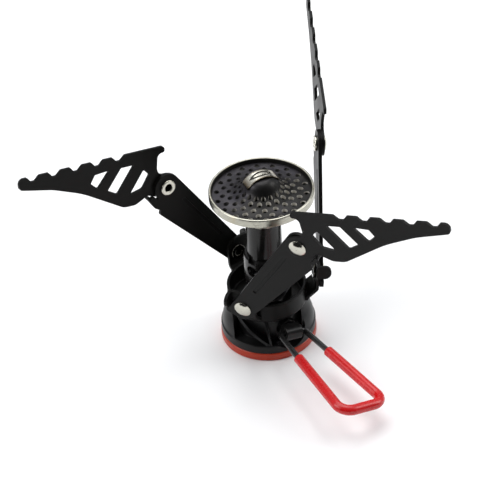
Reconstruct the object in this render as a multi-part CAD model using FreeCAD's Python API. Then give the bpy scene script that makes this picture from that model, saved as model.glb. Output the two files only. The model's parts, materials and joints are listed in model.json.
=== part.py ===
"""Canister-top camping stove with three folding pot supports, as separate sub-parts.

Millimetres, +Z up. The origin is the centre of the cartridge thread's mouth, on the underside of
the base ring. Three identical arms stand around the valve, each in its own leaning plane. The valve
spindle and its wire handle point out between the left and right arms.
"""
import FreeCAD
import Part
import math
import os

from FreeCAD import Placement, Rotation, Vector

ORIGIN = Vector(0, 0, 0)
X_AXIS = Vector(1, 0, 0)
Z_AXIS = Vector(0, 0, 1)

# Fits between sub-parts
FIT = 0.05                  # radial gap of a pin or spindle that turns
SEAT = 0.02                 # radial gap of a pressed or screwed joint
TURN_GAP = 0.1              # face gap between sheets that turn against each other

# Base, valve block and collar
BASE_R = 15.75
BASE_HEIGHT = 2.9
BLOCK_R = 9.5
BLOCK_TOP = 12.2
STEM_R = 4.6
STEM_TOP = 23.0
STEM_BORE_R = 2.5
THREAD_R = 5.5              # female 7/16 in valve thread
THREAD_DEPTH = 5.0
THREAD_RELIEF_R = 5.8       # recess above the thread that holds the seal
RELIEF_TOP = 7.0
PIN_BORE_R = 1.5
SKIRT_TOP = 13.7
SKIRT_R = 15.6
SKIRT_LIP_TOP = 5.7
POCKET_FLOOR_R = 11.6
POCKET_LEFT, POCKET_RIGHT = -12.0, 10.2

# Support ring and arms
SHEET = 1.0
CUP_R = 13.0
CUP_TOP = 20.9
ARM_AZIMUTHS = {"rear": 90.0, "left": 210.0, "right": -30.0}
ARM_OFFSET = 17.25          # from the stove's axis to the arm plane, at the base
ARM_LEAN = 5.2              # the arm plane leans outwards, degrees
PIVOT_HEIGHT = 23.4         # lower rivet, measured up the arm plane
LINK_LENGTH = 41.3          # between the two rivets
LINK_ANGLE = 57.4           # open link above the horizontal, degrees
BLADE_ANGLE = 11.6          # open blade's tooth line above the horizontal, degrees
BLADE_THICK = 1.0
LINK_THICK = 1.2
TAB_END = 43.4               # the tab that carries the open blade, from the lower rivet
TAB_OUT = 0.9
RIVET_R = 1.9
RIVET_HEAD_R = 2.8
RIVET_HEAD_HEIGHT = 1.0
RIVET_TAIL_R = 2.6
RIVET_TAIL_HEIGHT = 0.8

# Layers across an arm, measured outwards from the blade's outer face
BLADE_IN = -BLADE_THICK
LINK_OUT = BLADE_IN - TURN_GAP
LINK_IN = LINK_OUT - LINK_THICK
EAR_OUT = LINK_IN - TURN_GAP
EAR_IN = EAR_OUT - SHEET

# Blade outline, from the upper rivet along the tooth line
BLADE_TOP = 14.2
TOOTH_PITCH = 7.69
TOOTH_FLAT = 3.4
FIRST_TOOTH = 20.35
TOOTH_COUNT = 4
NOTCH_DEPTH = 1.65
HEEL_FLAT_END = 15.8
TIP_FLAT_START = 51.1
BLADE_LENGTH = 54.2

# Burner
TUBE_R = 5.75
TUBE_WALL = 0.6
TUBE_BOTTOM = 31.6
MIXER_R = 7.05
MIXER_BOTTOM = 18.0
MIXER_TOP = 34.0
AIR_HOLE_R = 2.05
AIR_HOLE_HEIGHT = 29.4
AIR_HOLES = 4
MIXER_NOTCH_WIDTH = 2.8      # notch in the top edge above each air hole
MIXER_NOTCH_DEPTH = 1.6
RIM_R = 16.9
RIM_WALL = 0.95
RIM_TOP = 58.94
RIM_HEIGHT = 2.85
PLATE_HEIGHT = 57.0
PLATE_SHEET = 0.6
PLATE_LAND_EXTRA = 0.55       # the plate's perforated land is this much thicker below
PLATE_LAND = (5.8, 13.4)      # inner and outer radius of that land
BELL_TOP = 64.15
HOLE_RINGS = ((14.35, 0.9), (12.4, 0.9), (10.3, 0.86), (8.3, 0.8), (6.7, 0.7))     # ring, hole radius
HOLES_PER_RING = 18
EMBLEM_TOP = 64.7
EMBLEM_R = 7.0
EMBLEM_WIDTH = 4.2
EMBLEM_HALF_ANGLE = 51.0
EMBLEM_AZIMUTH = 20.0
EMBLEM_SHEET = 0.5

# Valve spindle and wire handle
SPINDLE_AZIMUTH = -64.8
SPINDLE_HEIGHT = 9.6
SPINDLE_R = 1.6
HANDLE_TILT = -11.5         # the closed valve leaves the loop turned about the spindle
HUB_X = 15.0                # from the stove's axis to the loop's hinge line
HUB_HALF_WIDTH = 2.9
WIRE_R = 0.95
SLEEVE_R = 1.7
LOOP_LENGTH = 43.2
LOOP_START_Y = 4.6
LOOP_END_Y = 8.0
LOOP_BEND = 4.0
SLEEVE_START = 13.4
GLAND_THREAD_R = 2.9
GLAND_FLATS = 5.6


def corner_stops(corners, closed):
    """Tangent points and arc middles of a polyline whose (x, y, radius) corners are rounded."""
    stops = []
    last = len(corners) - 1
    for i, (x, y, radius) in enumerate(corners):
        here = Vector(x, y, 0)
        if radius == 0 or (not closed and i in (0, last)):
            stops.append((here, None, here))
            continue
        back = (Vector(*corners[i - 1][:2], 0) - here).normalize()
        ahead = (Vector(*corners[(i + 1) % len(corners)][:2], 0) - here).normalize()
        half = back.getAngle(ahead) / 2
        reach = radius / math.tan(half)
        middle = here + (back + ahead).normalize() * (radius / math.sin(half) - radius)
        stops.append((here + back * reach, middle, here + ahead * reach))
    return stops


def rounded_wire(corners, closed=True):
    """Wire of straight runs and tangent arcs in the XY plane; each corner is (x, y, radius)."""
    stops = corner_stops(corners, closed)
    edges = []
    for i, (first, middle, end) in enumerate(stops):
        if middle:
            edges.append(Part.Arc(first, middle, end).toShape())
        if closed or i < len(stops) - 1:
            start = stops[(i + 1) % len(stops)][0]
            if end.distanceToPoint(start) > 1e-4:
                edges.append(Part.makeLine(end, start))
    return Part.Wire(edges)


def plate(corners, bottom, top, windows=()):
    """Flat sheet with rounded corners between two heights, with windows through it."""
    wires = [rounded_wire(corners)] + [rounded_wire(window) for window in windows]
    face = Part.makeFace(wires, "Part::FaceMakerBullseye")
    face.translate(Vector(0, 0, bottom))
    return face.extrude(Vector(0, 0, top - bottom))


def turned(corners):
    """Solid of revolution about Z from a closed outline of (radius, height, corner radius)."""
    face = Part.Face(rounded_wire(corners))
    face.rotate(ORIGIN, X_AXIS, 90)
    return face.revolve(ORIGIN, Z_AXIS, 360)


def strip_corners(path, thickness):
    """Outline of a bent sheet seen edge-on; path holds (x, y, bend radius) of its middle line."""
    half = thickness / 2
    points = [Vector(x, y, 0) for x, y, _ in path]
    normals = []
    for start, end in zip(points, points[1:]):
        along = (end - start).normalize()
        normals.append(Vector(-along.y, along.x, 0))
    left, right = [], []
    for i, point in enumerate(points):
        before = normals[max(i - 1, 0)]
        after = normals[min(i, len(normals) - 1)]
        shift = (before + after) * (half / (1 + before.dot(after)))
        turn = before.cross(after).z
        bend = path[i][2]
        inner, outer = max(bend - half, 0), (bend + half if bend else 0)
        left_bend, right_bend = (inner, outer) if turn > 0 else (outer, inner)
        left.append((point.x + shift.x, point.y + shift.y, left_bend))
        right.append((point.x - shift.x, point.y - shift.y, right_bend))
    return left + right[::-1]


def rod(radius, start, end):
    """Cylinder between two points."""
    return Part.makeCylinder(radius, (end - start).Length, start, end - start)


def hexagon(flats, bottom, top):
    """Hexagonal prism about Z."""
    corner = flats / math.sqrt(3)
    points = [(corner * math.cos(math.radians(60 * i)), corner * math.sin(math.radians(60 * i)), 0)
              for i in range(6)]
    return plate(points, bottom, top)


def domed_rivet(head_base, tail_base):
    """Hollow-tailed rivet along Z at the origin, with a domed head up and a rolled tail down."""
    rim = 0.22
    rise = RIVET_HEAD_HEIGHT - rim
    dome_r = (RIVET_HEAD_R ** 2 + rise ** 2) / (2 * rise)
    dome = Part.makeSphere(dome_r, Vector(0, 0, head_base + RIVET_HEAD_HEIGHT - dome_r))
    head = dome.common(Part.makeCylinder(RIVET_HEAD_R, RIVET_HEAD_HEIGHT, Vector(0, 0, head_base)))
    shank = Part.makeCylinder(RIVET_R, head_base - tail_base, Vector(0, 0, tail_base))
    tail_end = tail_base - RIVET_TAIL_HEIGHT
    hollow_r = RIVET_R * 0.65
    hollow_top = tail_base + 1.0
    tail = turned([(hollow_r, hollow_top, 0), (RIVET_R, hollow_top, 0), (RIVET_R, tail_base, 0),
                   (RIVET_TAIL_R, tail_base, 0.2), (RIVET_TAIL_R, tail_end, 0.35),
                   (hollow_r, tail_end, 0.35)])
    hollow = Part.makeCylinder(hollow_r, hollow_top - tail_end, Vector(0, 0, tail_end))
    return head.fuse([shank, tail]).cut(hollow).removeSplitter()


# ---- Places ---------------------------------------------------------------------------------

def arm_place(azimuth):
    """Arm plane: x out along the arm, y up the leaning plane, z out of the blade's outer face."""
    angle, lean = math.radians(azimuth), math.radians(ARM_LEAN)
    along = Vector(math.cos(angle), math.sin(angle), 0)
    side = Vector(math.sin(angle), -math.cos(angle), 0)
    up = side * math.sin(lean) + Z_AXIS * math.cos(lean)
    face = side * math.cos(lean) - Z_AXIS * math.sin(lean)
    base = side * ARM_OFFSET
    return Placement(FreeCAD.Matrix(along.x, up.x, face.x, base.x,
                                    along.y, up.y, face.y, base.y,
                                    along.z, up.z, face.z, base.z,
                                    0, 0, 0, 1))


def in_arm_section(radius, height):
    """Arm-frame (z, y) of the point that far from the stove's axis, square to the arm, and that high."""
    lean = math.radians(ARM_LEAN)
    out = radius - ARM_OFFSET
    return out * math.cos(lean) - height * math.sin(lean), out * math.sin(lean) + height * math.cos(lean)


def link_place(azimuth):
    """Link frame: origin on the lower rivet, x towards the upper rivet."""
    return arm_place(azimuth) * Placement(Vector(0, PIVOT_HEIGHT, 0), Rotation(Z_AXIS, LINK_ANGLE))


def blade_place(azimuth):
    """Blade frame: origin on the upper rivet, x along the tooth line."""
    to_blade = Placement(Vector(LINK_LENGTH, 0, 0), Rotation(Z_AXIS, BLADE_ANGLE - LINK_ANGLE))
    return link_place(azimuth) * to_blade


def spindle_place():
    """Spindle frame: origin on the stove's axis at the spindle's height, x out along the spindle."""
    swing = Rotation(Z_AXIS, SPINDLE_AZIMUTH) * Rotation(X_AXIS, HANDLE_TILT)
    return Placement(Vector(0, 0, SPINDLE_HEIGHT), swing)


def placed(shape, placement):
    """Copy of a shape moved from its own frame into the stove's frame."""
    return shape.transformed(placement.toMatrix(), True)


# ---- Base and valve -------------------------------------------------------------------------

def base_ring():
    inner = BLOCK_R + FIT
    return turned([(inner, 0, 0), (BASE_R, 0, 0.5), (BASE_R, BASE_HEIGHT, 0.6), (inner, BASE_HEIGHT, 0)])


def skirt():
    """Moulded collar over the valve block, with a ribbed pocket in front and a scoop for the handle."""
    inner = BLOCK_R + FIT
    stem_hole = STEM_R + FIT
    shell = turned([(inner, BASE_HEIGHT, 0), (SKIRT_R, BASE_HEIGHT, 0.3), (SKIRT_R, SKIRT_LIP_TOP, 0.5),
                    (15.2, 6.1, 0.6), (14.7, 9.6, 9.0), (12.3, SKIRT_TOP, 0.4), (stem_hole, SKIRT_TOP, 0),
                    (stem_hole, BLOCK_TOP, 0), (inner, BLOCK_TOP, 0)])
    pocket_low = SKIRT_LIP_TOP + 0.2
    pocket = Part.makeBox(POCKET_RIGHT - POCKET_LEFT, SKIRT_R, SKIRT_TOP - pocket_low + 1,
                          Vector(POCKET_LEFT, -SKIRT_R - 4, pocket_low))
    floor = Part.makeCylinder(POCKET_FLOOR_R, SKIRT_TOP + 1)
    rib_block = skirt_rib(-11.6, -0.6, 0.9).fuse(skirt_rib(-2.0, -0.5, 0.7)).common(shell)
    body = shell.cut(pocket.cut(floor)).fuse(rib_block)
    scoop_r = LOOP_START_Y + WIRE_R + 0.45
    scoop = Part.makeCylinder(scoop_r, 12, Vector(HUB_X - 2.3, 0, 0), X_AXIS)
    gland_hole = Part.makeCylinder(GLAND_FLATS / math.sqrt(3) + 0.15, 12, Vector(5, 0, 0), X_AXIS)
    cuts = [placed(cut, spindle_place()) for cut in (scoop, gland_hole)]
    return body.cut(cuts).removeSplitter()


def skirt_rib(top_x, foot_x, width):
    """Upright rib across the pocket, slanting from the skirt's top to its lip."""
    path = [(top_x, SKIRT_TOP + 0.5, 0), (foot_x, SKIRT_LIP_TOP - 0.3, 0)]
    face = Part.Face(rounded_wire(strip_corners(path, width)))
    face.rotate(ORIGIN, X_AXIS, 90)
    rib = face.extrude(Vector(0, -SKIRT_R, 0))
    return rib.cut(Part.makeCylinder(BLOCK_R + 0.6, 2 * SKIRT_TOP))


def valve_body():
    """Valve block and threaded stem, bored for the cartridge, the pin, the spindle and the jet."""
    block = turned([(0, 0, 0), (BLOCK_R, 0, 0.4), (BLOCK_R, BLOCK_TOP, 0.3), (STEM_R, BLOCK_TOP, 0),
                    (STEM_R, STEM_TOP, 0.4), (0, STEM_TOP, 0)])
    seat_x = -0.6
    riser_x = -2.0
    plenum_bottom = BLOCK_TOP + 0.4
    upright = [
        Part.makeCylinder(THREAD_R, THREAD_DEPTH),
        Part.makeCylinder(THREAD_RELIEF_R, RELIEF_TOP - THREAD_DEPTH, Vector(0, 0, THREAD_DEPTH)),
        Part.makeCylinder(PIN_BORE_R, SPINDLE_HEIGHT),
        Part.makeCylinder(STEM_BORE_R, STEM_TOP - plenum_bottom, Vector(0, 0, plenum_bottom)),
    ]
    across = [
        rod(SPINDLE_R + FIT, Vector(seat_x, 0, 0), Vector(BLOCK_R + 1, 0, 0)),
        rod(GLAND_THREAD_R + FIT, Vector(5, 0, 0), Vector(BLOCK_R + 1, 0, 0)),
        rod(0.5, Vector(riser_x, 0, 0), Vector(seat_x, 0, 0)),
    ]
    swing = Placement(Vector(0, 0, SPINDLE_HEIGHT), Rotation(Z_AXIS, SPINDLE_AZIMUTH))
    riser = Part.makeCylinder(0.6, plenum_bottom - SPINDLE_HEIGHT + 0.5, Vector(riser_x, 0, -0.3))
    return block.cut(upright + [placed(cut, swing) for cut in across + [riser]])


def cartridge_seal():
    minor = 0.85
    return Part.makeTorus(3.1, minor, Vector(0, 0, RELIEF_TOP - minor - FIT))


def valve_pin():
    """Pin that opens the cartridge's valve, with a flatted flange pressed into the pin bore."""
    tip, head = THREAD_DEPTH + 0.3, RELIEF_TOP + 0.9
    pin = turned([(0, tip, 0), (0.8, tip, 0.3), (0.8, head, 0), (0, head, 0)])
    flange = Part.makeCylinder(PIN_BORE_R - SEAT, 0.7, Vector(0, 0, RELIEF_TOP + 0.1))
    flats = Part.makeBox(4, 1.9, 2, Vector(-2, -0.95, RELIEF_TOP - 0.5))
    return pin.fuse(flange.common(flats)).removeSplitter()


def spindle_gland():
    """Packing nut around the spindle, screwed into the valve block."""
    thread = Part.makeCylinder(GLAND_THREAD_R, BLOCK_R - 6.5, Vector(0, 0, 6.5))
    head = hexagon(GLAND_FLATS, BLOCK_R, 12.4)
    nut = thread.fuse(head).cut(Part.makeCylinder(SPINDLE_R + FIT, 14))
    nut.rotate(ORIGIN, Vector(0, 1, 0), 90)
    return placed(nut.removeSplitter(), spindle_place())


def spindle_o_ring():
    minor = 0.6
    ring = Part.makeTorus(SPINDLE_R + FIT + minor, minor, Vector(5.75, 0, 0), X_AXIS)
    return placed(ring, spindle_place())


def gas_jet():
    """Brass jet screwed into the stem's top."""
    nose_top = STEM_TOP + 3.6
    body = turned([(0, STEM_TOP - 3.5, 0), (STEM_BORE_R - SEAT, STEM_TOP - 3.5, 0.3),
                   (STEM_BORE_R - SEAT, STEM_TOP, 0), (0, STEM_TOP, 0)])
    nose = turned([(0, STEM_TOP + 2, 0), (1.9, STEM_TOP + 2, 0), (1.1, nose_top, 0.3), (0, nose_top, 0)])
    bore = Part.makeCylinder(0.3, 8, Vector(0, 0, STEM_TOP - 4))
    return body.fuse([hexagon(5.0, STEM_TOP, STEM_TOP + 2), nose]).cut(bore).removeSplitter()


def jet_filter():
    return Part.makeCylinder(STEM_BORE_R - SEAT, 2.0, Vector(0, 0, 15.5))


# ---- Support ring and arms ------------------------------------------------------------------

def support_ring():
    """Pressed cup with three ears that flare out and up to carry the arms."""
    cup = turned([(STEM_R + FIT, SKIRT_TOP, 0), (CUP_R, SKIRT_TOP, 1.3), (CUP_R, CUP_TOP, 0.3),
                  (CUP_R - SHEET, CUP_TOP, 0.3), (CUP_R - SHEET, SKIRT_TOP + SHEET, 0.5),
                  (STEM_R + FIT, SKIRT_TOP + SHEET, 0)])
    ears = [placed(ear(), arm_place(azimuth)) for azimuth in ARM_AZIMUTHS.values()]
    ring = cup.fuse(ears)
    inside = Part.makeCylinder(CUP_R - SHEET, CUP_TOP + 1, Vector(0, 0, SKIRT_TOP + SHEET + 0.5))
    under = Part.makeCylinder(CUP_R, SKIRT_TOP + 1)
    return ring.cut([inside, under.cut(Part.makeCylinder(CUP_R, 2, Vector(0, 0, SKIRT_TOP)))])


def ear():
    """One ear in its arm's frame: a bent strap, rounded on top, with a stop tab folded outwards."""
    edge_low, edge_high = -4.9, 3.6
    top = 28.7
    flat = (EAR_OUT + EAR_IN) / 2
    foot = in_arm_section(CUP_R - SHEET / 2, SKIRT_TOP + 1.4)
    flare = in_arm_section(CUP_R - SHEET / 2, SKIRT_TOP + 2.2)
    path = [(*foot, 0), (*flare, 1.2), (flat, 19.0, 1.6), (flat, top + 2, 0)]
    face = Part.Face(rounded_wire(strip_corners(path, SHEET)))
    strap = face.extrude(Vector(0, 0, edge_high - edge_low))
    strap.rotate(ORIGIN, Vector(0, 1, 0), -90)
    strap.translate(Vector(edge_high, 0, 0))
    outline = plate([(edge_low, 0, 0), (edge_high, 0, 0), (edge_high, top, 4.1), (edge_low, top, 1.0)], -9, 3)
    tab_low, tab_high, tab_end = 23.7, top - 0.1, 1.25
    tab = plate([(EAR_IN, tab_low, 0.3), (tab_end, tab_low, 2.2), (tab_end, tab_high, 2.2),
                 (EAR_IN, tab_high, 0.3)], 0, SHEET)
    tab.rotate(ORIGIN, Vector(0, 1, 0), -90)
    tab.translate(Vector(edge_low + SHEET / 2, 0, 0))
    hole = Part.makeCylinder(RIVET_R + SEAT, 12, Vector(0, PIVOT_HEIGHT, -9))
    return strap.common(outline).fuse(tab).cut(hole)


def lock_nut():
    """Hexagon nut that clamps the support ring on the stem."""
    bottom = SKIRT_TOP + SHEET
    nut = hexagon(14.0, bottom, MIXER_BOTTOM)
    bevel = turned([(0, bottom, 0), (8.2, bottom, 0.5), (8.2, MIXER_BOTTOM, 0.9), (0, MIXER_BOTTOM, 0)])
    return nut.common(bevel).cut(Part.makeCylinder(STEM_R + SEAT, MIXER_BOTTOM + 1))


def arm_link():
    """Link in its own frame: widens towards the blade, with a heel below and a tab under the blade."""
    end = LINK_LENGTH
    outline = [(-2.4, 3.7, 0.2), (-3.2, 4.95, 0.5), (-5.4, 3.7, 1.2), (-4.2, -3.4, 3.2), (36.0, -8.1, 0.7),
               (37.0, -6.9, 0.4), (39.5, -7.7, 0.9), (TAB_END, -7.4, 0.9), (TAB_END, -5.1, 0.8),
               (41.2, -5.1, 0.2), (41.2, -4.6, 0.1), (end + 4.6, -4.6, 4.55), (end + 4.6, 4.6, 4.55)]
    sheet = plate(outline, LINK_IN, LINK_OUT)
    tab = plate([(39.6, -7.3, 0.2), (TAB_END, -7.3, 0.8), (TAB_END, -6.1, 0.3), (39.6, -6.1, 0.2)],
                LINK_IN, TAB_OUT)
    groove_depth = 0.25
    groove = plate([(10, 0.1, 0.5), (33, 0.1, 0.5), (33, 1.3, 0.5), (10, 1.3, 0.5)], 0, 3)
    outer_groove, inner_groove = groove.copy(), groove.copy()
    outer_groove.translate(Vector(0, 0, LINK_OUT - groove_depth))
    inner_groove.translate(Vector(0, 0, LINK_IN + groove_depth - 3))
    lower_hole = Part.makeCylinder(RIVET_R + FIT, 4, Vector(0, 0, LINK_IN - 1))
    upper_hole = Part.makeCylinder(RIVET_R + SEAT, 4, Vector(end, 0, LINK_IN - 1))
    return sheet.fuse(tab).cut([outer_groove, inner_groove, lower_hole, upper_hole]).removeSplitter()


def tooth_corners():
    """Corners of the notched top edge, from the heel out to the tip."""
    starts = [FIRST_TOOTH + TOOTH_PITCH * i for i in range(TOOTH_COUNT)] + [TIP_FLAT_START]
    ends = [HEEL_FLAT_END] + [start + TOOTH_FLAT for start in starts[:-1]]
    low = BLADE_TOP - NOTCH_DEPTH
    corners = []
    for left, right in zip(ends, starts):
        run = (right - left) * 0.34
        corners += [(left, BLADE_TOP, 0.9), (left + run, low, 0.7), (right - run, low, 0.7),
                    (right, BLADE_TOP, 0.9)]
    return corners


def blade():
    """Toothed pot support in its own frame, with three slanting windows."""
    hub = 4.1
    crook_x, crook_y = 6.6, -2.05
    slope = math.asin(hub / math.hypot(crook_x, crook_y)) + math.atan2(crook_y, crook_x)
    hub_foot = crook_y - (crook_x + hub) * math.tan(slope)
    heel = [(3.5, hub, 3.0), (3.6, 11.9, 1.7), (0.9, 12.1, 0.7), (1.2, BLADE_TOP, 1.2)]
    tip = [(BLADE_LENGTH, BLADE_TOP, 1.7), (BLADE_LENGTH - 0.4, 10.5, 1.5)]
    belly = [(42.0, 8.1, 20), (31.0, 4.2, 40), (15.4, -4.3, 5), (11.0, -4.4, 4), (crook_x, crook_y, 1.2)]
    outline = [(-hub, hub_foot, hub), (-hub, hub, hub)] + heel + tooth_corners() + tip + belly
    windows = [
        [(6.3, 5.2, 0.5), (8.7, 7.5, 0.4), (13.6, -0.4, 0.5), (8.6, 0.8, 1.6)],
        [(12.1, 10.0, 0.5), (17.2, 10.0, 0.5), (21.8, 3.1, 0.4), (17.9, 1.0, 0.6)],
        [(21.2, 10.2, 0.5), (26.8, 9.7, 0.5), (28.2, 7.0, 0.4), (25.3, 4.6, 0.5)],
    ]
    sheet = plate(outline, BLADE_IN, 0, windows)
    return sheet.cut(Part.makeCylinder(RIVET_R + FIT, 4, Vector(0, 0, BLADE_IN - 1)))


def lower_rivet():
    """Rivet through the ear and the link, in the link's frame."""
    return domed_rivet(LINK_OUT + 0.08, EAR_IN)


def upper_rivet():
    """Rivet through the link and the blade, in the blade's frame."""
    return domed_rivet(0.08, LINK_IN)


# ---- Burner ---------------------------------------------------------------------------------

def mixer_tube():
    """Lower tube that draws in air around the jet, tapered below and bevelled on top."""
    chamber_r = TUBE_R + FIT
    stem_hole = STEM_R + SEAT
    outside = [(6.1, MIXER_BOTTOM, 0.4), (6.2, 20.4, 2.0), (MIXER_R, 23.8, 2.0),
               (MIXER_R - 0.1, MIXER_TOP - 0.7, 0.3), (MIXER_R - 0.6, MIXER_TOP, 0.2)]
    inside = [(chamber_r, MIXER_TOP, 0), (chamber_r, STEM_TOP, 0), (stem_hole, STEM_TOP, 0)]
    tube = turned([(stem_hole, MIXER_BOTTOM, 0)] + outside + inside)
    holes = []
    for i in range(AIR_HOLES):
        angle = math.radians(45 + i * 360 / AIR_HOLES)
        out = Vector(math.cos(angle), math.sin(angle), 0)
        holes.append(Part.makeCylinder(AIR_HOLE_R, 10, Vector(0, 0, AIR_HOLE_HEIGHT), out))
        notch = Part.makeBox(10, MIXER_NOTCH_WIDTH, 5,
                             Vector(0, -MIXER_NOTCH_WIDTH / 2, MIXER_TOP - MIXER_NOTCH_DEPTH))
        notch.rotate(ORIGIN, Z_AXIS, math.degrees(angle))
        holes.append(notch)
    return tube.cut(holes)


def burner_tube():
    top = 50.9
    inner = TUBE_R - TUBE_WALL
    return turned([(inner, TUBE_BOTTOM, 0), (TUBE_R, TUBE_BOTTOM, 0.2), (TUBE_R, top, 0.2), (inner, top, 0)])


def burner_pan():
    """Shallow pan under the perforated plate, with a collar around the burner tube."""
    collar = TUBE_R + FIT + PLATE_SHEET / 2
    flange = PLATE_HEIGHT - PLATE_SHEET
    path = [(collar, 47.6, 0), (collar, 50.2, 0.8), (14.9, flange, 0.6), (RIM_R - RIM_WALL - FIT, flange, 0)]
    return turned(strip_corners(path, PLATE_SHEET))


def burner_rim():
    """Rolled ring around the plate, with a hook below that holds the pan."""
    outer, inner = RIM_R, RIM_R - RIM_WALL
    low = RIM_TOP - RIM_HEIGHT
    flange_under = PLATE_HEIGHT - 1.5 * PLATE_SHEET
    return turned([(inner, RIM_TOP, 0.45), (inner, flange_under, 0), (15.2, flange_under, 0),
                   (15.2, flange_under - 0.5, 0.2), (outer - 0.7, flange_under - 0.5, 0.4),
                   (outer, low + 0.1, 0.5), (outer, RIM_TOP, 0.48)])


def plate_corners():
    """Outline of the perforated plate's section: its upper side from the axis out, then its lower side."""
    flat_edge = RIM_R - RIM_WALL - FIT
    path = [(0, BELL_TOP - PLATE_SHEET / 2, 0), (4.3, BELL_TOP - 1.1, 3.0), (6.0, 59.6, 3.5),
            (9.6, 57.5, 4.0), (12.8, PLATE_HEIGHT, 8.0), (flat_edge, PLATE_HEIGHT, 0)]
    return [(0, y, 0) if x < PLATE_SHEET / 2 else (x, y, radius)
            for x, y, radius in strip_corners(path, PLATE_SHEET)]


def burner_plate():
    """Perforated plate that rises into a closed bell in the middle."""
    sheet = turned(plate_corners())
    inner, outer = PLATE_LAND
    land = sheet.copy()
    land.translate(Vector(0, 0, -PLATE_LAND_EXTRA))
    land = land.common(turned([(inner, TUBE_BOTTOM, 0), (outer, TUBE_BOTTOM, 0), (outer, BELL_TOP, 0),
                               (inner, BELL_TOP, 0)]))
    holes = []
    for row, (ring, radius) in enumerate(HOLE_RINGS):
        for i in range(HOLES_PER_RING):
            angle = math.radians((i + (row + 1) / 2) * 360 / HOLES_PER_RING)
            centre = Vector(ring * math.cos(angle), ring * math.sin(angle), PLATE_HEIGHT - 1)
            holes.append(Part.makeCylinder(radius, 7, centre))
    return sheet.fuse(land).removeSplitter().cut(Part.makeCompound(holes))


def emblem_plate():
    """Plain metal band bent over the bell, with a lens-shaped recess around a raised lens."""
    half = EMBLEM_WIDTH / 2
    centre = EMBLEM_TOP - EMBLEM_R

    def arch(outer, inner, width):
        ring = rod(outer, Vector(0, -width, 0), Vector(0, width, 0))
        return ring.cut(rod(inner, Vector(0, -width, 0), Vector(0, width, 0)))

    reach = EMBLEM_R * math.sin(math.radians(EMBLEM_HALF_ANGLE))
    low = EMBLEM_R * math.cos(math.radians(EMBLEM_HALF_ANGLE))
    window = plate([(-reach, -half, 0.5), (reach, -half, 0.5), (reach, half, 0.5), (-reach, half, 0.5)],
                   low - 1.0, EMBLEM_R + 1)
    band = arch(EMBLEM_R, EMBLEM_R - EMBLEM_SHEET, half + 1).common(window)
    skin = arch(EMBLEM_R + 0.5, EMBLEM_R - 0.2, half)
    recess = lens(reach * 0.74, half * 0.62).cut(lens(reach * 0.52, half * 0.26)).common(skin)
    band = placed(band.cut(recess), Placement(Vector(0, 0, centre), Rotation(Z_AXIS, EMBLEM_AZIMUTH)))
    upper = plate_corners()
    upper = upper[:len(upper) // 2]
    filled_bell = turned(upper + [(upper[-1][0], MIXER_TOP, 0), (0, MIXER_TOP, 0)])
    return band.cut(filled_bell)


def lens(half_length, half_width):
    """Upright prism with a pointed-oval outline."""
    left, right = Vector(-half_length, 0, 0), Vector(half_length, 0, 0)
    arcs = [Part.Arc(left, Vector(0, -half_width, 0), right).toShape(),
            Part.Arc(right, Vector(0, half_width, 0), left).toShape()]
    return Part.Face(Part.Wire(arcs)).extrude(Vector(0, 0, EMBLEM_R + 1))


# ---- Spindle and handle ---------------------------------------------------------------------

def spindle():
    """Needle spindle: a cone on its seat, then the stem out to the hub."""
    end_x = HUB_X - 0.5
    needle = turned([(0, -0.5, 0), (0.35, -0.5, 0.1), (1.0, 2.0, 0), (SPINDLE_R, 2.5, 0),
                     (SPINDLE_R, end_x, 0.2), (0, end_x, 0)])
    needle.rotate(ORIGIN, Vector(0, 1, 0), 90)
    cross_hole = rod(WIRE_R + 0.6, Vector(HUB_X, -5, 0), Vector(HUB_X, 5, 0))
    return placed(needle.cut(cross_hole), spindle_place())


def handle_hub():
    """Cross block on the spindle's end that takes the two hooked ends of the wire."""
    inner_x, outer_x, half_height = HUB_X - 2.3, HUB_X + 2.1, 2.3
    block = plate([(inner_x, -half_height, 0.6), (outer_x, -half_height, 1.7), (outer_x, half_height, 1.7),
                   (inner_x, half_height, 0.6)], -HUB_HALF_WIDTH, HUB_HALF_WIDTH)
    block.rotate(ORIGIN, X_AXIS, 90)
    cross_hole = rod(WIRE_R + FIT, Vector(HUB_X, -5, 0), Vector(HUB_X, 5, 0))
    socket = rod(SPINDLE_R + SEAT, Vector(inner_x - 1, 0, 0), Vector(HUB_X - 0.4, 0, 0))
    return placed(block.cut([cross_hole, socket]), spindle_place())


def loop_y(x):
    """Half width of the loop at a distance along the handle."""
    return LOOP_START_Y + (LOOP_END_Y - LOOP_START_Y) * x / LOOP_LENGTH


def swept(corners, radius):
    """Round rod along a planar path, in the spindle's frame with its start on the hinge line."""
    path = rounded_wire(corners, closed=False)
    path.translate(Vector(HUB_X, 0, 0))
    start = path.OrderedVertexes[0].Point
    ahead = path.OrderedVertexes[1].Point - start
    section = Part.Wire(Part.makeCircle(radius, start, ahead))
    return path.makePipeShell([section], True, True)


def wire_handle():
    hook = 1.2
    end_x = LOOP_LENGTH
    path = [(0, -hook, 0), (0, -LOOP_START_Y, 1.8), (end_x, -LOOP_END_Y, LOOP_BEND),
            (end_x, LOOP_END_Y, LOOP_BEND), (0, LOOP_START_Y, 1.8), (0, hook, 0)]
    return placed(swept(path, WIRE_R), spindle_place())


def handle_sleeve():
    """Soft sleeve over the outer part of the wire loop."""
    end_x = LOOP_LENGTH
    path = [(SLEEVE_START, -loop_y(SLEEVE_START), 0), (end_x, -LOOP_END_Y, LOOP_BEND),
            (end_x, LOOP_END_Y, LOOP_BEND), (SLEEVE_START, loop_y(SLEEVE_START), 0)]
    sleeve = swept(path, SLEEVE_R).cut(swept(path, WIRE_R + SEAT))
    return placed(sleeve, spindle_place())


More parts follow.
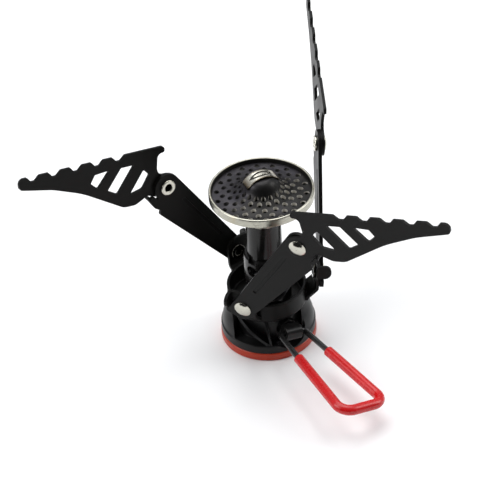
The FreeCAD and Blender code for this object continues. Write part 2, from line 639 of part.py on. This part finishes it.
def build_nodes():
    nodes = {
        "base_ring": base_ring(),
        "skirt": skirt(),
        "valve_body": valve_body(),
        "cartridge_seal": cartridge_seal(),
        "valve_pin": valve_pin(),
        "spindle_gland": spindle_gland(),
        "spindle_o_ring": spindle_o_ring(),
        "gas_jet": gas_jet(),
        "jet_filter": jet_filter(),
        "support_ring": support_ring(),
        "lock_nut": lock_nut(),
        "mixer_tube": mixer_tube(),
        "burner_tube": burner_tube(),
        "burner_pan": burner_pan(),
        "burner_rim": burner_rim(),
        "burner_plate": burner_plate(),
        "emblem_plate": emblem_plate(),
        "spindle": spindle(),
        "handle_hub": handle_hub(),
        "wire_handle": wire_handle(),
        "handle_sleeve": handle_sleeve(),
    }
    for side, azimuth in ARM_AZIMUTHS.items():
        nodes["lower_rivet_" + side] = placed(lower_rivet(), link_place(azimuth))
        nodes["arm_link_" + side] = placed(arm_link(), link_place(azimuth))
        nodes["upper_rivet_" + side] = placed(upper_rivet(), blade_place(azimuth))
        nodes["blade_" + side] = placed(blade(), blade_place(azimuth))
    return nodes


os.makedirs("parts", exist_ok=True)
for node, shape in build_nodes().items():
    if shape.ShapeType == "Compound" and len(shape.Solids) == 1:
        shape = shape.Solids[0]
    print(f"{node:20s} solids {len(shape.Solids)} valid {shape.isValid()} volume {shape.Volume:9.2f}")
    shape.exportStep(os.path.join("parts", node + ".step"))
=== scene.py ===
"""Looks of the canister-top camping stove: materials on the CAD nodes, a pale floor, soft light, camera."""

import json
import math

import bpy
from mathutils import Matrix, Vector


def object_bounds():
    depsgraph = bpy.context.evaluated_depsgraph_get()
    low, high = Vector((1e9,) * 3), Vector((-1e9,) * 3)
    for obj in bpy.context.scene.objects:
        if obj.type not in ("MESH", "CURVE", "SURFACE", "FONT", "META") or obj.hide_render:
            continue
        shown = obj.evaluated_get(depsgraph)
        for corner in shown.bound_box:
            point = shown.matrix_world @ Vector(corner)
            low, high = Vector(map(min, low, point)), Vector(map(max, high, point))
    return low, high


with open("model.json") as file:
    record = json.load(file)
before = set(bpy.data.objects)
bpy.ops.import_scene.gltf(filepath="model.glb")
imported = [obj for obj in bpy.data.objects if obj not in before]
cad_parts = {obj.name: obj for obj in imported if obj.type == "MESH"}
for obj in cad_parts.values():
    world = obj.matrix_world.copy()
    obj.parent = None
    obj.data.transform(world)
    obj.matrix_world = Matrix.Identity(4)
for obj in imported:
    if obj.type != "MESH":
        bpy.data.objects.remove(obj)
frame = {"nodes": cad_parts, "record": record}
cad_box = [list(corner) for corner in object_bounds()]

MM = 0.001

# The three arm planes: the way each arm points, its distance from the axis at the base, and its outward lean.
ARM_AZIMUTHS = (90.0, 210.0, -30.0)
ARM_OFFSET = 17.25 * MM
ARM_LEAN = math.radians(5.2)
# Rivets: the links' faces, measured out of the blades' outer faces, and a height between the two rivets.
LINK_OUTER_FACE = -1.1 * MM
LINK_INNER_FACE = -2.3 * MM
ABOVE_LOWER_RIVETS = 31 * MM
# Burner head.
PLATE_TOP = 57.3 * MM
LAND_INNER_R = 5.8 * MM              # inside of the plate's thicker, pierced land
EMBLEM_AZIMUTH = math.radians(20)
EMBLEM_CENTRE = 57.7 * MM            # height of the centre of the band's arch
EMBLEM_ARCH_R = 7.0 * MM
EMBLEM_HALF_WIDTH = 2.1 * MM
EMBLEM_ENDS = (3.6 * MM, 5.2 * MM)   # from the band's middle, where its patina grows in
# Valve thread.
THREAD_R = 5.5 * MM
THREAD_DEPTH = 5.0 * MM
THREAD_PITCH = 0.907 * MM


# ---- Node helpers ---------------------------------------------------------------------------

class Paint:
    """One material and short calls for its nodes."""

    def __init__(self, name):
        self.material = bpy.data.materials.new(name)
        self.material.use_nodes = True
        self.tree = self.material.node_tree
        self.shader = self.tree.nodes["Principled BSDF"]
        self.object_coords = self.tree.nodes.new("ShaderNodeTexCoord").outputs["Object"]

    def node(self, kind, **settings):
        made = self.tree.nodes.new(kind)
        for key, value in settings.items():
            setattr(made, key, value)
        return made

    def feed(self, socket, value):
        if isinstance(value, bpy.types.NodeSocket):
            self.tree.links.new(value, socket)
        else:
            socket.default_value = value

    def math(self, operation, a, b=0.0):
        made = self.node("ShaderNodeMath", operation=operation)
        self.feed(made.inputs[0], a)
        self.feed(made.inputs[1], b)
        return made.outputs[0]

    def axes(self):
        made = self.node("ShaderNodeSeparateXYZ")
        self.feed(made.inputs[0], self.object_coords)
        return made.outputs

    def around(self, turns, radial, axial):
        """Coordinates that run round the burner axis, for turned and brushed metal."""
        x, y, z = self.axes()
        made = self.node("ShaderNodeCombineXYZ")
        self.feed(made.inputs[0], self.math("MULTIPLY", self.math("ARCTAN2", y, x), turns))
        self.feed(made.inputs[1], self.math("MULTIPLY", self.radius(), radial))
        self.feed(made.inputs[2], self.math("MULTIPLY", z, axial))
        return made.outputs[0]

    def facing(self):
        """The surface's own direction, as x, y, z."""
        made = self.node("ShaderNodeSeparateXYZ")
        self.feed(made.inputs[0], self.node("ShaderNodeNewGeometry").outputs["Normal"])
        return made.outputs

    def radius(self):
        x, y, _ = self.axes()
        return self.math("SQRT", self.math("ADD", self.math("MULTIPLY", x, x), self.math("MULTIPLY", y, y)))

    def arm_depth(self):
        """How far a point lies outside the blades' outer faces, square to its arm."""
        x, y, z = self.axes()
        reach = None
        for azimuth in ARM_AZIMUTHS:
            turn = math.radians(azimuth)
            out = self.math("SUBTRACT", self.math("MULTIPLY", x, math.sin(turn)),
                            self.math("MULTIPLY", y, math.cos(turn)))
            reach = self.math("MAXIMUM", reach, out) if reach else out
        across = self.math("MULTIPLY", self.math("SUBTRACT", reach, ARM_OFFSET), math.cos(ARM_LEAN))
        return self.math("SUBTRACT", across, self.math("MULTIPLY", z, math.sin(ARM_LEAN)))

    def noise(self, scale, detail=3.0, coords=None):
        made = self.node("ShaderNodeTexNoise")
        self.feed(made.inputs["Vector"], coords or self.object_coords)
        made.inputs["Scale"].default_value = scale
        made.inputs["Detail"].default_value = detail
        return made.outputs[0]

    def span(self, value, low, high, to_low=0.0, to_high=1.0):
        made = self.node("ShaderNodeMapRange", clamp=True)
        for socket, entry in zip(made.inputs, (value, low, high, to_low, to_high)):
            self.feed(socket, entry)
        return made.outputs[0]

    def mix(self, share, first, second):
        made = self.node("ShaderNodeMix", data_type="RGBA")
        self.feed(made.inputs[0], share)
        self.feed(made.inputs[6], first)
        self.feed(made.inputs[7], second)
        return made.outputs[2]

    def edges(self, radius, low, high):
        """1 on edges, where a rounded normal leaves the true one, and 0 on flat faces."""
        rounded = self.node("ShaderNodeBevel", samples=4)
        rounded.inputs["Radius"].default_value = radius
        plain = self.node("ShaderNodeNewGeometry").outputs["Normal"]
        dot = self.node("ShaderNodeVectorMath", operation="DOT_PRODUCT")
        self.feed(dot.inputs[0], rounded.outputs[0])
        self.feed(dot.inputs[1], plain)
        return self.span(dot.outputs["Value"], high, low)

    def relief(self, height, distance, strength=1.0, edge=None):
        made = self.node("ShaderNodeBump")
        made.inputs["Strength"].default_value = strength
        made.inputs["Distance"].default_value = distance
        self.feed(made.inputs["Height"], height)
        if edge:
            rounded = self.node("ShaderNodeBevel", samples=4)
            rounded.inputs["Radius"].default_value = edge
            self.feed(made.inputs["Normal"], rounded.outputs[0])
        self.feed(self.shader.inputs["Normal"], made.outputs[0])

    def finish(self, colour, roughness, metallic=0.0, specular=0.5, coat=0.0, coat_roughness=0.1):
        self.feed(self.shader.inputs["Base Color"], colour)
        self.feed(self.shader.inputs["Roughness"], roughness)
        self.feed(self.shader.inputs["Metallic"], metallic)
        self.shader.inputs["Specular IOR Level"].default_value = specular
        self.shader.inputs["Coat Weight"].default_value = coat
        self.shader.inputs["Coat Roughness"].default_value = coat_roughness
        return self.material


def grey(level):
    return (level, level, level, 1.0)


# ---- Materials ------------------------------------------------------------------------------

def satin_black():
    """Coated sheet: a fine grain, soft sheen, and thin bare steel where the edges rub."""
    p = Paint("satin_black_sheet")
    cloud = p.noise(90, 4.0)
    grain = p.noise(5200, 2.0)
    rub = p.math("MULTIPLY", p.edges(0.22 * MM, 0.80, 0.97), p.span(p.noise(420, 4.0), 0.56, 0.72))
    base = p.mix(cloud, (0.0032, 0.0031, 0.0028, 1), (0.0058, 0.0056, 0.0051, 1))
    colour = p.mix(p.math("MULTIPLY", rub, 0.3), base, (0.10, 0.096, 0.088, 1))
    rough = p.math("ADD", p.span(cloud, 0.3, 0.7, 0.33, 0.42), p.span(grain, 0.3, 0.7, -0.03, 0.05))
    p.relief(grain, 0.010 * MM, 0.35, edge=0.16 * MM)
    return p.finish(colour, rough, specular=0.12)


def gloss_black():
    """Glossy black burner tube with fine drawn lines and a little heat haze below the burner."""
    p = Paint("gloss_black_tube")
    lines = p.noise(1.0, 3.0, p.around(9.0, 300.0, 60.0))
    cloud = p.noise(140, 4.0)
    haze = p.span(p.axes()[2], 40 * MM, 51 * MM)
    base = p.mix(cloud, (0.0035, 0.0034, 0.0032, 1), (0.007, 0.0068, 0.0064, 1))
    colour = p.mix(p.math("MULTIPLY", haze, 0.35), base, (0.035, 0.030, 0.027, 1))
    rough = p.span(lines, 0.25, 0.75, 0.17, 0.27)
    p.relief(lines, 0.006 * MM, 0.25, edge=0.15 * MM)
    return p.finish(colour, rough, specular=0.24, coat=0.06, coat_roughness=0.1)


def black_moulding():
    """Moulded collar with a faint spark-eroded texture, shinier on the ribs' edges."""
    p = Paint("black_moulding")
    texture = p.noise(3600, 3.0)
    cloud = p.noise(160, 3.0)
    rub = p.edges(0.3 * MM, 0.82, 0.98)
    base = p.mix(cloud, (0.0040, 0.0040, 0.0041, 1), (0.0070, 0.0070, 0.0072, 1))
    colour = p.mix(p.math("MULTIPLY", rub, 0.4), base, grey(0.03))
    rough = p.span(p.math("SUBTRACT", texture, p.math("MULTIPLY", rub, 0.3)), 0.2, 0.8, 0.24, 0.42)
    p.relief(texture, 0.012 * MM, 0.3, edge=0.22 * MM)
    return p.finish(colour, rough, specular=0.22)


def orange_ring():
    """Coated ring with fine turned lines, lighter where its edges rub."""
    p = Paint("orange_red_ring")
    cloud = p.noise(260, 4.0)
    lines = p.noise(1.0, 3.0, p.around(5.0, 2600.0, 3200.0))
    rub = p.edges(0.25 * MM, 0.82, 0.98)
    base = p.mix(cloud, (0.34, 0.026, 0.008, 1), (0.47, 0.040, 0.012, 1))
    colour = p.mix(p.math("MULTIPLY", rub, 0.35), base, (0.62, 0.10, 0.04, 1))
    rough = p.span(lines, 0.3, 0.7, 0.26, 0.38)
    p.relief(lines, 0.008 * MM, 0.3, edge=0.2 * MM)
    return p.finish(colour, rough, specular=0.3, coat=0.1, coat_roughness=0.18)


def rim_steel():
    """Stainless rim and pan: brushed lines, straw tints from the flame, dark soot patches, inward-facing
    walls darkened nearly black, and painted shade on the pan floor under the plate.
    """
    p = Paint("brushed_rim_steel")
    lines = p.noise(1.0, 4.0, p.around(7.0, 5200.0, 5200.0))
    wide = p.noise(1.0, 2.0, p.around(3.0, 900.0, 900.0))
    patch = p.noise(170, 4.0)
    base = p.mix(p.span(lines, 0.25, 0.75), (0.30, 0.295, 0.245, 1), (0.54, 0.525, 0.455, 1))
    tint = p.mix(p.math("MULTIPLY", p.span(patch, 0.5, 0.75), 0.55), base, (0.47, 0.39, 0.25, 1))
    soot = p.math("MULTIPLY", p.span(p.noise(520, 5.0), 0.60, 0.74), 0.5)
    outside = p.mix(soot, tint, (0.15, 0.14, 0.12, 1))
    x, y, z = p.axes()
    facing = p.facing()
    along = p.math("ADD", p.math("MULTIPLY", facing[0], x), p.math("MULTIPLY", facing[1], y))
    outward = p.math("DIVIDE", along, p.radius())
    # Inward-facing walls and the pan floor under the plate are painted nearly black; on the pan floor this is
    # painted shade, which keeps the holes dark.
    inner_wall = p.span(outward, -0.35, -0.75)
    pan_floor = p.math("MULTIPLY", p.span(facing[2], 0.05, 0.2), p.span(z, PLATE_TOP, PLATE_TOP - 0.2 * MM))
    inside_dark_and_shade = p.math("MAXIMUM", inner_wall, pan_floor)
    colour = p.mix(p.math("MULTIPLY", inside_dark_and_shade, 0.95), outside, (0.018, 0.017, 0.016, 1))
    brushed = p.math("ADD", p.span(lines, 0.2, 0.8, 0.20, 0.34), p.span(wide, 0.3, 0.7, 0.0, 0.07))
    rough = p.math("ADD", brushed, p.math("MULTIPLY", inside_dark_and_shade, 0.3))
    p.relief(lines, 0.012 * MM, 0.4, edge=0.1 * MM)
    return p.finish(colour, rough, metallic=1.0)


def burnt_steel():
    """Perforated plate: dark oxidised steel, with a painted sheen that makes it greyer at the back left, and
    bright bare walls in the punched holes, kept bright only at the front right as a painted highlight.
    """
    p = Paint("burnt_plate_steel")
    patch = p.noise(230, 5.0)
    fine = p.noise(1900, 3.0)
    x, y, _ = p.axes()
    level = p.math("ABSOLUTE", p.facing()[2])
    on_land = p.span(p.radius(), LAND_INNER_R + 0.2 * MM, LAND_INNER_R + 0.5 * MM)
    wall = p.math("MULTIPLY", p.span(level, 0.42, 0.22), on_land)
    # Painted light: 0.1 at the back left, 1 at the front right. It paints a paler sheen on the oxide at the
    # back left and keeps the bright hole walls, a painted highlight, to the front right.
    painted_light_side = p.span(p.math("SUBTRACT", p.math("MULTIPLY", x, 0.7), y), -2 * MM, 5 * MM, 0.1, 1.0)
    # The paler, purplish colour is the painted sheen; the darker one is the oxide at the front right.
    pale = p.mix(p.span(patch, 0.3, 0.7), (0.040, 0.037, 0.043, 1), (0.062, 0.058, 0.064, 1))
    dark = p.mix(p.span(patch, 0.3, 0.7), (0.012, 0.0118, 0.011, 1), (0.022, 0.021, 0.020, 1))
    oxide_and_painted_sheen = p.mix(painted_light_side, pale, dark)
    stain = p.math("MULTIPLY", p.span(p.noise(130, 3.0), 0.52, 0.7), 0.3)
    blue = p.mix(stain, oxide_and_painted_sheen, (0.026, 0.025, 0.036, 1))
    lip = p.edges(0.14 * MM, 0.75, 0.96)
    worn = p.mix(p.math("MULTIPLY", lip, 0.25), blue, (0.16, 0.155, 0.14, 1))
    # Painted highlight: the holes' bright bare walls show only towards the front right.
    colour = p.mix(p.math("MULTIPLY", wall, painted_light_side), worn, (0.66, 0.635, 0.58, 1))
    rough = p.math("ADD", p.span(fine, 0.3, 0.7, 0.30, 0.46), p.math("MULTIPLY", wall, -0.06))
    p.relief(p.math("ADD", fine, patch), 0.014 * MM, 0.35, edge=0.12 * MM)
    bare = p.math("SUBTRACT", 0.7, p.math("MULTIPLY", wall, 0.6))
    return p.finish(colour, rough, metallic=bare, specular=0.3)


def emblem_metal():
    """Aged silver band: burnished faces, brown patina along its edges, and painted shade darkening its
    recessed floor.
    """
    p = Paint("aged_emblem_metal")
    cos, sin = math.cos(EMBLEM_AZIMUTH), math.sin(EMBLEM_AZIMUTH)
    x, y, z = p.axes()
    along = p.math("ADD", p.math("MULTIPLY", x, cos), p.math("MULTIPLY", y, sin))
    across = p.math("SUBTRACT", p.math("MULTIPLY", y, cos), p.math("MULTIPLY", x, sin))
    rise = p.math("SUBTRACT", z, EMBLEM_CENTRE)
    arch = p.math("SQRT", p.math("ADD", p.math("MULTIPLY", along, along), p.math("MULTIPLY", rise, rise)))
    # Painted shade: the floor just under the band's outer face is darkened nearly black and made rougher.
    recess_shade = p.span(arch, EMBLEM_ARCH_R - 0.04 * MM, EMBLEM_ARCH_R - 0.14 * MM)
    border = p.span(p.math("ABSOLUTE", across), EMBLEM_HALF_WIDTH - 0.55 * MM, EMBLEM_HALF_WIDTH - 0.05 * MM)
    ends = p.span(p.math("ABSOLUTE", along), *EMBLEM_ENDS)
    grain = p.noise(2200, 4.0)
    old = p.math("MULTIPLY", p.math("MAXIMUM", border, ends), p.span(grain, 0.35, 0.6, 0.55, 0.95))
    silver = p.mix(p.span(grain, 0.3, 0.7), (0.62, 0.59, 0.50, 1), (0.80, 0.77, 0.68, 1))
    bronze = p.mix(old, silver, (0.17, 0.115, 0.055, 1))
    colour = p.mix(p.math("MULTIPLY", recess_shade, 0.95), bronze, (0.02, 0.016, 0.012, 1))
    rough = p.math("ADD", p.span(grain, 0.3, 0.7, 0.20, 0.30), p.math("MULTIPLY", recess_shade, 0.3))
    p.relief(grain, 0.006 * MM, 0.4, edge=0.12 * MM)
    return p.finish(colour, rough, metallic=1.0)


def rivet_steel():
    """Polished rivet heads, with painted shade in the hollowed upper tails and blackened lower tails."""
    p = Paint("polished_rivet_steel")
    cloud = p.noise(900, 4.0)
    nick = p.span(p.noise(2600, 4.0), 0.62, 0.70)
    steel = p.mix(cloud, (0.44, 0.43, 0.37, 1), (0.62, 0.605, 0.53, 1))
    depth, height = p.arm_depth(), p.axes()[2]
    lower = p.span(height, ABOVE_LOWER_RIVETS, ABOVE_LOWER_RIVETS - 1 * MM)
    tail = p.span(depth, LINK_INNER_FACE + 0.4 * MM, LINK_INNER_FACE + 0.2 * MM)
    under_head = p.span(depth, LINK_OUTER_FACE + 0.2 * MM, LINK_OUTER_FACE + 0.1 * MM)
    above_tail = p.span(depth, LINK_INNER_FACE - 0.45 * MM, LINK_INNER_FACE + 0.1 * MM)
    # Painted shade: the rivet is darkened between the links' faces and into the tails' hollowed ends.
    hollow_shade = p.math("MULTIPLY", above_tail, under_head)
    # The lower tails' black is their own finish; the rest of this dark mask is painted shade.
    dark = p.math("MAXIMUM", p.math("MULTIPLY", tail, lower), hollow_shade)
    colour = p.mix(p.math("MULTIPLY", dark, 0.95), steel, (0.03, 0.028, 0.024, 1))
    rough = p.math("ADD", p.span(cloud, 0.3, 0.7, 0.09, 0.17), p.math("MULTIPLY", nick, 0.12))
    p.relief(p.math("SUBTRACT", cloud, nick), 0.010 * MM, 0.3, edge=0.1 * MM)
    return p.finish(colour, rough, metallic=1.0)


def valve_metal():
    """Turned alloy: fine rings, and the fine pitch of the thread inside its mouth."""
    p = Paint("turned_valve_metal")
    z = p.axes()[2]
    rings = p.noise(1.0, 3.0, p.around(2.0, 4200.0, 4200.0))
    wave = p.math("SINE", p.math("MULTIPLY", z, 2 * math.pi / THREAD_PITCH))
    at_wall = p.span(p.radius(), THREAD_R + 0.12 * MM, THREAD_R + 0.05 * MM)
    in_thread = p.math("MULTIPLY", at_wall, p.span(z, THREAD_DEPTH + 0.05 * MM, THREAD_DEPTH - 0.05 * MM))
    colour = p.mix(p.span(rings, 0.3, 0.7), (0.36, 0.36, 0.365, 1), (0.58, 0.58, 0.575, 1))
    rough = p.span(rings, 0.3, 0.7, 0.24, 0.38)
    height = p.math("ADD", p.math("MULTIPLY", rings, 0.06), p.math("MULTIPLY", wave, in_thread))
    p.relief(height, 0.16 * MM, 0.8, edge=0.12 * MM)
    return p.finish(colour, rough, metallic=1.0)


def brass():
    p = Paint("turned_brass")
    rings = p.noise(1.0, 3.0, p.around(2.0, 4200.0, 5200.0))
    tarnish = p.noise(500, 4.0)
    base = p.mix(p.span(rings, 0.3, 0.7), (0.55, 0.37, 0.13, 1), (0.80, 0.58, 0.25, 1))
    colour = p.mix(p.math("MULTIPLY", p.span(tarnish, 0.5, 0.7), 0.5), base, (0.22, 0.13, 0.05, 1))
    rough = p.span(rings, 0.3, 0.7, 0.22, 0.36)
    p.relief(rings, 0.01 * MM, 0.4, edge=0.1 * MM)
    return p.finish(colour, rough, metallic=1.0)


def seal_rubber():
    p = Paint("seal_rubber")
    skin = p.noise(2600, 3.0)
    colour = p.mix(skin, grey(0.008), grey(0.018))
    p.relief(skin, 0.02 * MM, 0.4)
    return p.finish(colour, p.span(skin, 0.3, 0.7, 0.55, 0.70), specular=0.35)


def black_metal():
    """Blackened nuts and hub: thin dark finish with steel showing at the corners."""
    p = Paint("blackened_metal")
    cloud = p.noise(600, 4.0)
    rub = p.math("MULTIPLY", p.edges(0.25 * MM, 0.78, 0.97), p.span(p.noise(800, 4.0), 0.45, 0.62))
    base = p.mix(cloud, (0.004, 0.004, 0.004, 1), (0.008, 0.0078, 0.0075, 1))
    colour = p.mix(p.math("MULTIPLY", rub, 0.7), base, (0.30, 0.29, 0.27, 1))
    rough = p.span(cloud, 0.3, 0.7, 0.26, 0.38)
    p.relief(cloud, 0.02 * MM, 0.3, edge=0.2 * MM)
    return p.finish(colour, rough, metallic=p.math("MULTIPLY", rub, 0.8), specular=0.22)


def black_wire():
    p = Paint("gloss_black_wire")
    cloud = p.noise(800, 4.0)
    colour = p.mix(cloud, (0.007, 0.007, 0.007, 1), (0.014, 0.0138, 0.0135, 1))
    p.relief(cloud, 0.015 * MM, 0.3)
    return p.finish(colour, p.span(cloud, 0.3, 0.7, 0.16, 0.28), specular=0.45, coat=0.2, coat_roughness=0.15)


def red_sleeve():
    """Dip-moulded sleeve: saturated red, soft gloss, faint flow lumps and scuffs."""
    p = Paint("gloss_red_sleeve")
    lumps = p.noise(330, 3.0)
    skin = p.noise(2400, 3.0)
    scuff = p.math("MULTIPLY", p.span(p.noise(700, 5.0), 0.60, 0.72), 0.35)
    base = p.mix(lumps, (0.47, 0.003, 0.005, 1), (0.60, 0.006, 0.007, 1))
    colour = p.mix(scuff, base, (0.50, 0.012, 0.012, 1))
    rough = p.math("ADD", p.span(skin, 0.3, 0.7, 0.20, 0.30), p.math("MULTIPLY", scuff, 0.3))
    p.relief(p.math("ADD", lumps, p.math("MULTIPLY", skin, 0.15)), 0.02 * MM, 0.3, edge=0.25 * MM)
    return p.finish(colour, rough, specular=0.4, coat=0.2, coat_roughness=0.12)


PAINTS = {
    "satin_black": satin_black, "gloss_black": gloss_black, "black_moulding": black_moulding,
    "orange_ring": orange_ring, "rim_steel": rim_steel, "burnt_steel": burnt_steel,
    "emblem_metal": emblem_metal, "rivet_steel": rivet_steel, "valve_metal": valve_metal,
    "brass": brass, "seal_rubber": seal_rubber, "black_metal": black_metal,
    "black_wire": black_wire, "red_sleeve": red_sleeve,
}

made_paints = {slot: make() for slot, make in PAINTS.items()}
for part in frame["record"]["subparts"]:
    piece = frame["nodes"][part["node"]]
    piece.data.materials.clear()
    piece.data.materials.append(made_paints[part["material_slot"]])


# ---- Floor and light ------------------------------------------------------------------------

def pale_floor():
    half = 3.0
    mesh = bpy.data.meshes.new("floor")
    corners = [(-half, -half, 0), (half, -half, 0), (half, half, 0), (-half, half, 0)]
    mesh.from_pydata(corners, [], [(0, 1, 2, 3)])
    floor = bpy.data.objects.new("floor", mesh)
    floor.location.z = cad_box[0][2] - 0.01 * MM
    bpy.context.scene.collection.objects.link(floor)
    p = Paint("pale_floor")
    cloud = p.noise(6, 2.0)
    mesh.materials.append(p.finish(p.mix(cloud, grey(0.86), grey(0.90)), 0.75, specular=0.2))


def soft_light(name, place, target, size, power):
    data = bpy.data.lights.new(name, "AREA")
    data.shape, data.size, data.size_y = "RECTANGLE", *size
    data.energy = power
    lamp = bpy.data.objects.new(name, data)
    lamp.location = place
    lamp.rotation_euler = (Vector(target) - Vector(place)).to_track_quat("-Z", "Y").to_euler()
    bpy.context.scene.collection.objects.link(lamp)


def dark_card():
    """Small black flag at the front left, seen only in polished metal's reflections."""
    foot, half_width = Vector((-0.086, -0.124, 0.002)), Vector((0.060, -0.045, 0))
    top = foot + Vector((0, 0, 0.078))
    mesh = bpy.data.meshes.new("dark_card")
    corners = [foot - half_width, foot + half_width, top + half_width, top - half_width]
    mesh.from_pydata(corners, [], [(0, 1, 2, 3)])
    card = bpy.data.objects.new("dark_card", mesh)
    card.visible_camera = card.visible_diffuse = card.visible_shadow = False
    bpy.context.scene.collection.objects.link(card)
    p = Paint("dark_card")
    mesh.materials.append(p.finish(grey(0.01), 0.9, specular=0.1))


def studio_world():
    """Pale room, brighter overhead, darker towards the front and along the horizon."""
    world = bpy.data.worlds.new("studio")
    world.use_nodes = True
    tree = world.node_tree
    split = tree.nodes.new("ShaderNodeSeparateXYZ")
    tree.links.new(tree.nodes.new("ShaderNodeTexCoord").outputs["Generated"], split.inputs[0])

    def blend(axis, start, end, colour):
        """A mix towards the colour as the direction's component goes from start to end."""
        share = tree.nodes.new("ShaderNodeMapRange")
        share.inputs["From Min"].default_value, share.inputs["From Max"].default_value = start, end
        tree.links.new(split.outputs[axis], share.inputs["Value"])
        mix = tree.nodes.new("ShaderNodeMix")
        mix.data_type = "RGBA"
        mix.inputs[7].default_value = colour
        tree.links.new(share.outputs[0], mix.inputs[0])
        return mix

    front = blend("Y", 0.25, -0.75, (0.07, 0.07, 0.075, 1))
    front.inputs[6].default_value = (0.60, 0.62, 0.65, 1)
    horizon = blend("Z", 0.55, 0.12, (0.10, 0.10, 0.11, 1))
    tree.links.new(front.outputs[2], horizon.inputs[6])
    tree.links.new(horizon.outputs[2], tree.nodes["Background"].inputs["Color"])
    bpy.context.scene.world = world


pale_floor()
dark_card()
middle = (0.0, 0.0, 0.045)
soft_light("left_box", (-0.75, -0.15, 0.55), middle, (0.6, 0.6), 4.5)
soft_light("right_box", (0.80, 0.05, 0.50), middle, (0.5, 0.6), 3.5)
soft_light("top_box", (0.0, 0.35, 1.05), middle, (0.9, 0.9), 9.0)
studio_world()
bpy.context.scene.view_settings.view_transform = "Standard"


# ---- Camera ---------------------------------------------------------------------------------

LENS = 171.05
SENSOR = 36.0
PLACE = Vector((-41.21, -598.33, 512.95)) * MM
HEADING = math.radians(3.487)        # from +Y towards +X
TILT = math.radians(-38.594)
ROLL = math.radians(3.455)


def add_camera():
    data = bpy.data.cameras.new("camera")
    data.sensor_width, data.lens = SENSOR, LENS
    data.clip_start, data.clip_end = 0.05, 20
    camera = bpy.data.objects.new("camera", data)
    turn = Matrix.Rotation(-HEADING, 4, "Z") @ Matrix.Rotation(math.pi / 2 + TILT, 4, "X")
    camera.matrix_world = Matrix.Translation(PLACE) @ turn @ Matrix.Rotation(-ROLL, 4, "Z")
    bpy.context.scene.collection.objects.link(camera)
    bpy.context.scene.camera = camera


add_camera()
